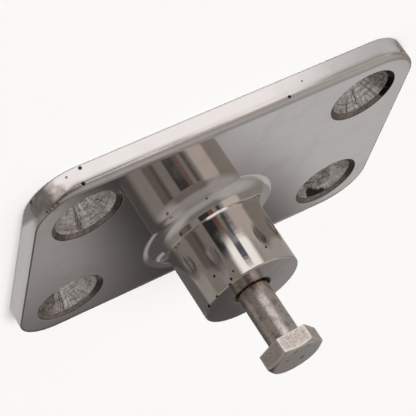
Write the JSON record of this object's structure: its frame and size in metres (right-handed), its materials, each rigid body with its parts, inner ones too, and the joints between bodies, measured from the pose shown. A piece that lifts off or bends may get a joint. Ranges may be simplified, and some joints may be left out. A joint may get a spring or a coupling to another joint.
{
  "type": "bimini top mount",
  "caption": "Rectangular polished steel plate with countersunk corner holes and an off-centre round boss that holds a hex-head pivot bolt.",
  "frame": {"origin": "middle of the plate's flat back face, which lies on z = 0", "axes": "+Z out of the plate, along the boss and the bolt; +X along the plate's long side; +Y along its short side, away from the edge that the boss stands near"},
  "size_m": [0.0974, 0.064, 0.0447],
  "materials": {
    "polished_steel": "mirror polished",
    "bolt_steel": "satin"
  },
  "bodies": {
    "base": {"mount_base": "polished_steel"},
    "bolt": {"hex_bolt": "bolt_steel"}
  },
  "joints": [
    {"name": "bolt_unscrew", "type": "slide", "parent": "base", "child": "bolt", "axis": [0, 0, 1], "range_m": [0, 0.04]}
  ]
}
